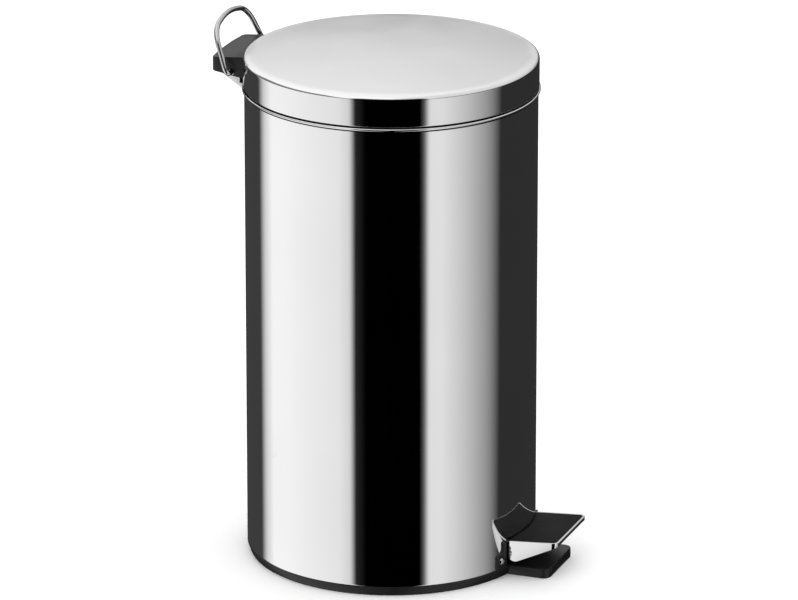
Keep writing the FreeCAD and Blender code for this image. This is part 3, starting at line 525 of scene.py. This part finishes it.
def lid_steel():
    """Stainless steel of the lid: ground satin on top, polished on its skirt, a painted highlight between."""
    shader = Shader("lid_steel", Metallic=1.0)
    satin = shader.by_height(LID_POLISH_TOP, LID_POLISH_TOP + 0.6, 0.0, 1.0)
    # Painted highlight: the base colour is lighter in a thin band where the satin top meets the polished skirt.
    rim_foot = shader.by_height(LID_POLISH_TOP - 1.6, LID_POLISH_TOP - 1.0, 0.0, 0.9)
    rim_end = shader.by_height(LID_POLISH_TOP + 0.4, LID_POLISH_TOP + 1.6, 1.0, 0.0)
    rim = shader.math("MULTIPLY", rim_foot, rim_end)
    cloud = shader.noise(14, detail=6)
    grind = shader.noise(900, detail=2)
    shader.tint(shader.math("ADD", cloud, rim),
                (0.25, grey(0.80)), (0.75, (0.84, 0.84, 0.845)), (1.0, grey(0.95)))
    ground = shader.spread(shader.math("ADD", cloud, grind), 0.7, 1.3, 0.24, 0.32)
    shine = shader.spread(cloud, 0.3, 0.7, 0.035, 0.07)
    shader.rough(shader.math("ADD", shine, shader.math("MULTIPLY", satin, ground)))
    shader.bump(shader.math("MULTIPLY", grind, satin), strength=0.05, depth=0.02)
    return shader.material


def satin_steel():
    """Fine-ground stainless steel sheet."""
    shader = Shader("satin_steel", Metallic=1.0)
    cloud = shader.noise(14, detail=6)
    grind = shader.noise(700, detail=3, place=shader.stretched((1, 0.06, 1)))
    shader.tint(cloud, (0.25, grey(0.72)), (0.75, (0.80, 0.80, 0.805)))
    shader.rough(shader.spread(shader.math("ADD", cloud, grind), 0.7, 1.3, 0.22, 0.34))
    shader.bump(grind, strength=0.08, depth=0.03)
    return shader.material


def chrome_wire():
    """Bright plated wire."""
    shader = Shader("chrome_wire", Metallic=1.0)
    cloud = shader.noise(60)
    shader.tint(cloud, (0.3, grey(0.60)), (0.7, grey(0.68)))
    shader.rough(shader.spread(cloud, 0.3, 0.7, 0.06, 0.13))
    shader.bump(shader.noise(400), strength=0.06, depth=0.02)
    return shader.material


def zinc_steel():
    """Zinc-plated steel with a soft spangle."""
    shader = Shader("zinc_steel", Metallic=1.0)
    spangle = shader.cells(260)
    cloud = shader.noise(40)
    shader.tint(shader.math("ADD", spangle, cloud), (0.3, (0.48, 0.49, 0.50)), (1.0, (0.66, 0.66, 0.65)))
    shader.rough(shader.spread(cloud, 0.3, 0.7, 0.26, 0.44))
    shader.bump(spangle, strength=0.10, depth=0.05)
    return shader.material


def moulded(name, greys, grain, roughness, gloss, depth=0.06):
    """Moulded plastic or rubber with a fine grained skin; greys and roughness are (low, high) pairs."""
    shader = Shader(name, Metallic=0.0, Specular_IOR_Level=gloss)
    cloud = shader.noise(35, detail=5)
    skin = shader.noise(grain, detail=3)
    mottle = shader.spread(shader.math("ADD", cloud, skin), 0.84, 1.16)
    shader.tint(mottle, (0.1, grey(greys[0])), (0.9, grey(greys[1])))
    shader.rough(shader.spread(mottle, 0.0, 1.0, *roughness))
    shader.bump(skin, strength=0.35, depth=depth)
    return shader.material


def black_plastic():
    """Smooth black moulding of the base, the trims and the hinge cover."""
    return moulded("black_plastic", greys=(0.006, 0.011), grain=1500, roughness=(0.30, 0.42), gloss=0.32)


def black_rubber():
    """Matt mottled rubber of the pedal's pad and the lid's seal."""
    return moulded("black_rubber", greys=(0.001, 0.014), grain=620, roughness=(0.45, 0.70), gloss=0.06,
                   depth=0.2)


def grey_plastic():
    """Dark grey moulding of the bucket."""
    return moulded("grey_plastic", greys=(0.035, 0.05), grain=1100, roughness=(0.38, 0.55), gloss=0.45)


def nylon():
    """Pale moulding of the guides, spacers and cap inside."""
    return moulded("nylon", greys=(0.60, 0.68), grain=1300, roughness=(0.40, 0.55), gloss=0.45)


MATERIALS = {
    "polished_steel": polished_steel(),
    "satin_steel": satin_steel(),
    "lid_steel": lid_steel(),
    "chrome_wire": chrome_wire(),
    "zinc_steel": zinc_steel(),
    "black_plastic": black_plastic(),
    "black_rubber": black_rubber(),
    "grey_plastic": grey_plastic(),
    "nylon": nylon(),
}
SPECIAL_MATERIAL = {"lid_shell": "lid_steel"}


# ---------------------------------------------------------------- putting the bin together

def body_of_node(node):
    """The body that a CAD node belongs to."""
    for body, members in frame["record"]["behaviour"]["bodies"].items():
        if node in members:
            return body
    raise KeyError(node)


def slot_of_node(node):
    """The material slot that the record gives a CAD node."""
    return next(part["material_slot"] for part in frame["record"]["subparts"] if part["node"] == node)


def cover_with(thing, material):
    """Give a mesh object one material."""
    thing.data.materials.clear()
    thing.data.materials.append(material)


def stand_in(piece, node):
    """Give a piece its material and let it stand for a CAD node."""
    slot = slot_of_node(node)
    cover_with(piece, MATERIALS[SPECIAL_MATERIAL.get(node, slot)])
    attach(piece, body_of_node(node))
    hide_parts(node)


def assemble():
    """Cover the CAD nodes, and put finer pieces in place of all but the two wires and the push rod."""
    for name, node in frame["nodes"].items():
        cover_with(node, MATERIALS[slot_of_node(name)])
    for name, make in DETAILED.items():
        stand_in(make(), name)
    for name, width in EDGE_WIDTHS.items():
        stand_in(softened(name, name + "_formed", width), name)


# ---------------------------------------------------------------- studio

CAMERA_AZIMUTH = math.radians(-69.5)
CAMERA_HEIGHT_ANGLE = math.radians(18.75)
CAMERA_DISTANCE = 5.62
CAMERA_LENS = 295.5
CAMERA_SENSOR = 36
AIM_RIGHT = 0.0065
AIM_HEIGHT = 0.2243
UP = Vector((0, 0, 1))

towards_camera = Vector((math.sin(CAMERA_AZIMUTH), -math.cos(CAMERA_AZIMUTH), 0))
camera_right = Vector((math.cos(CAMERA_AZIMUTH), math.sin(CAMERA_AZIMUTH), 0))


def make_camera():
    """A long lens at the photograph's angle, aimed at the middle of its frame."""
    data = bpy.data.cameras.new("camera")
    data.lens = CAMERA_LENS
    data.sensor_width = CAMERA_SENSOR
    data.clip_end = 200
    camera = bpy.data.objects.new("camera", data)
    bpy.context.scene.collection.objects.link(camera)
    aim = camera_right * AIM_RIGHT + UP * AIM_HEIGHT
    direction = towards_camera * math.cos(CAMERA_HEIGHT_ANGLE) + UP * math.sin(CAMERA_HEIGHT_ANGLE)
    camera.location = aim + direction * CAMERA_DISTANCE
    camera.rotation_euler = (-direction).to_track_quat("-Z", "Y").to_euler()
    bpy.context.scene.camera = camera


def make_floor():
    """A large pale floor, which the polished steel doesn't mirror."""
    side = 60
    floor = new_mesh("floor", [(-side, -side, 0), (side, -side, 0), (side, side, 0), (-side, side, 0)],
                     [(0, 1, 2, 3)], smooth=False)
    shader = Shader("pale_floor", Roughness=0.9, Specular_IOR_Level=0.1)
    shader.tint(shader.noise(3), (0.3, grey(0.90)), (0.7, grey(0.93)))
    floor.data.materials.append(shader.material)
    floor.visible_glossy = False


# How bright the studio's walls are, by azimuth round the bin in degrees: 0 is the camera's side, and
# positive is to the camera's right.
STUDIO_WALL = (
    # darkness behind the bin
    (-180, 0.04), (-160, 0.05), (-126, 0.05),
    # soft box on the left
    (-118, 0.70), (-108, 1.05), (-92, 1.05), (-70, 0.98), (-42, 0.90), (-33, 0.76),
    # dark flag at the camera
    (-28.5, 0.02), (-20, 0.0), (23, 0.0),
    # soft box on the right
    (26, 0.12), (30, 0.85), (40, 0.86), (57, 0.66), (80, 0.35), (85, 0.26),
    # darkness behind the bin again
    (95, 0.03), (160, 0.03), (180, 0.04),
)
# A height in the light is the sine of a direction's angle above the horizon. The flag is full height
# up to the first azimuth on either side, and is no taller than the walls from the second.
FLAG_EDGES = (24, 42)
FLAG_HEIGHT = 0.52
GLOOM_HEIGHT = 0.06
GLOOM_STRENGTH = 0.78
# How bright the even light is that falls on everything but mirrors.
FILL = 1.4
BLACK = (0, 0, 0, 1)
WHITE = (1, 1, 1, 1)


class StudioLight(NodeTree):
    """The world's nodes, which find the light that comes from each direction."""

    def __init__(self, world):
        world.use_nodes = True
        super().__init__(world.node_tree)
        self.nodes.clear()
        self.direction = self.nodes.new("ShaderNodeTexCoord").outputs["Generated"]
        self.height = self.along(UP)
        self.right = self.along(camera_right)
        self.azimuth = self.math("DEGREES", self.math("ARCTAN2", self.right, self.along(towards_camera)))
        self.from_camera = self.math("ABSOLUTE", self.azimuth)

    def along(self, vector):
        """How far the direction goes along a unit vector."""
        node = self.nodes.new("ShaderNodeVectorMath")
        node.operation = "DOT_PRODUCT"
        self.put(node.inputs[0], self.direction)
        self.put(node.inputs[1], vector)
        return node.outputs["Value"]

    def fade(self, source, start, end, low=0.0, high=1.0):
        """Go softly from low to high as a value goes from start to end."""
        return self.spread(source, start, end, low, high, "SMOOTHSTEP")

    def mix(self, factor, first, second):
        """Blend two colours."""
        node = self.nodes.new("ShaderNodeMix")
        node.data_type = "RGBA"
        self.put(node.inputs["Factor"], factor)
        self.put(node.inputs["A"], first)
        self.put(node.inputs["B"], second)
        return node.outputs["Result"]

    def walls(self):
        """Banded light from the walls round the bin."""
        stops = [(degrees / 360 + 0.5, grey(level)) for degrees, level in STUDIO_WALL]
        return self.ramp(self.math("ADD", self.math("DIVIDE", self.azimuth, 360), 0.5), stops)

    def sky(self):
        """A soft ceiling, brighter overhead and dimmer on the right."""
        level = self.fade(self.height, 0.20, 0.62, 0.80, 1.10)
        side = self.fade(self.right, -0.12, 0.20, 1.03, 0.66)
        return self.mix(self.math("MULTIPLY", level, side), BLACK, WHITE)

    def above_walls(self):
        """0 on the walls and 1 in the sky; the flag at the camera stands higher than the soft boxes."""
        flag = self.fade(self.from_camera, *FLAG_EDGES, 1.0, 0.0)
        wall_top = self.math("MULTIPLY", flag, FLAG_HEIGHT)
        return self.fade(self.math("SUBTRACT", self.height, wall_top), 0.02, 0.26)

    def gloom(self):
        """A dim band just above the horizon on the camera's side, wider and higher on the left."""
        widening = self.fade(self.azimuth, -60, -28, 0.21, 0.0)
        middle = self.math("ADD", widening, GLOOM_HEIGHT)
        off_middle = self.math("ABSOLUTE", self.math("SUBTRACT", self.height, middle))
        band = self.fade(self.math("SUBTRACT", off_middle, widening), 0.05, 0.13, GLOOM_STRENGTH, 0.0)
        camera_side = self.fade(self.from_camera, 120, 145, 1.0, 0.0)
        return self.math("MULTIPLY", band, camera_side)


def make_studio_light():
    """Banded walls, a soft ceiling and a gloomy horizon for mirrors, and an even fill for all else."""
    world = bpy.data.worlds.new("studio")
    bpy.context.scene.world = world
    light = StudioLight(world)
    room = light.mix(light.above_walls(), light.walls(), light.sky())
    mirrored = light.mix(light.gloom(), room, BLACK)
    rays = light.nodes.new("ShaderNodeLightPath")
    lit = light.mix(rays.outputs["Is Glossy Ray"], (FILL, FILL, FILL, 1), mirrored)
    seen = light.mix(rays.outputs["Is Camera Ray"], lit, WHITE)
    background = light.nodes.new("ShaderNodeBackground")
    light.put(background.inputs["Color"], seen)
    output = light.nodes.new("ShaderNodeOutputWorld")
    light.put(output.inputs["Surface"], background.outputs["Background"])


assemble()
make_camera()
make_floor()
make_studio_light()
bpy.context.scene.view_settings.view_transform = "Standard"
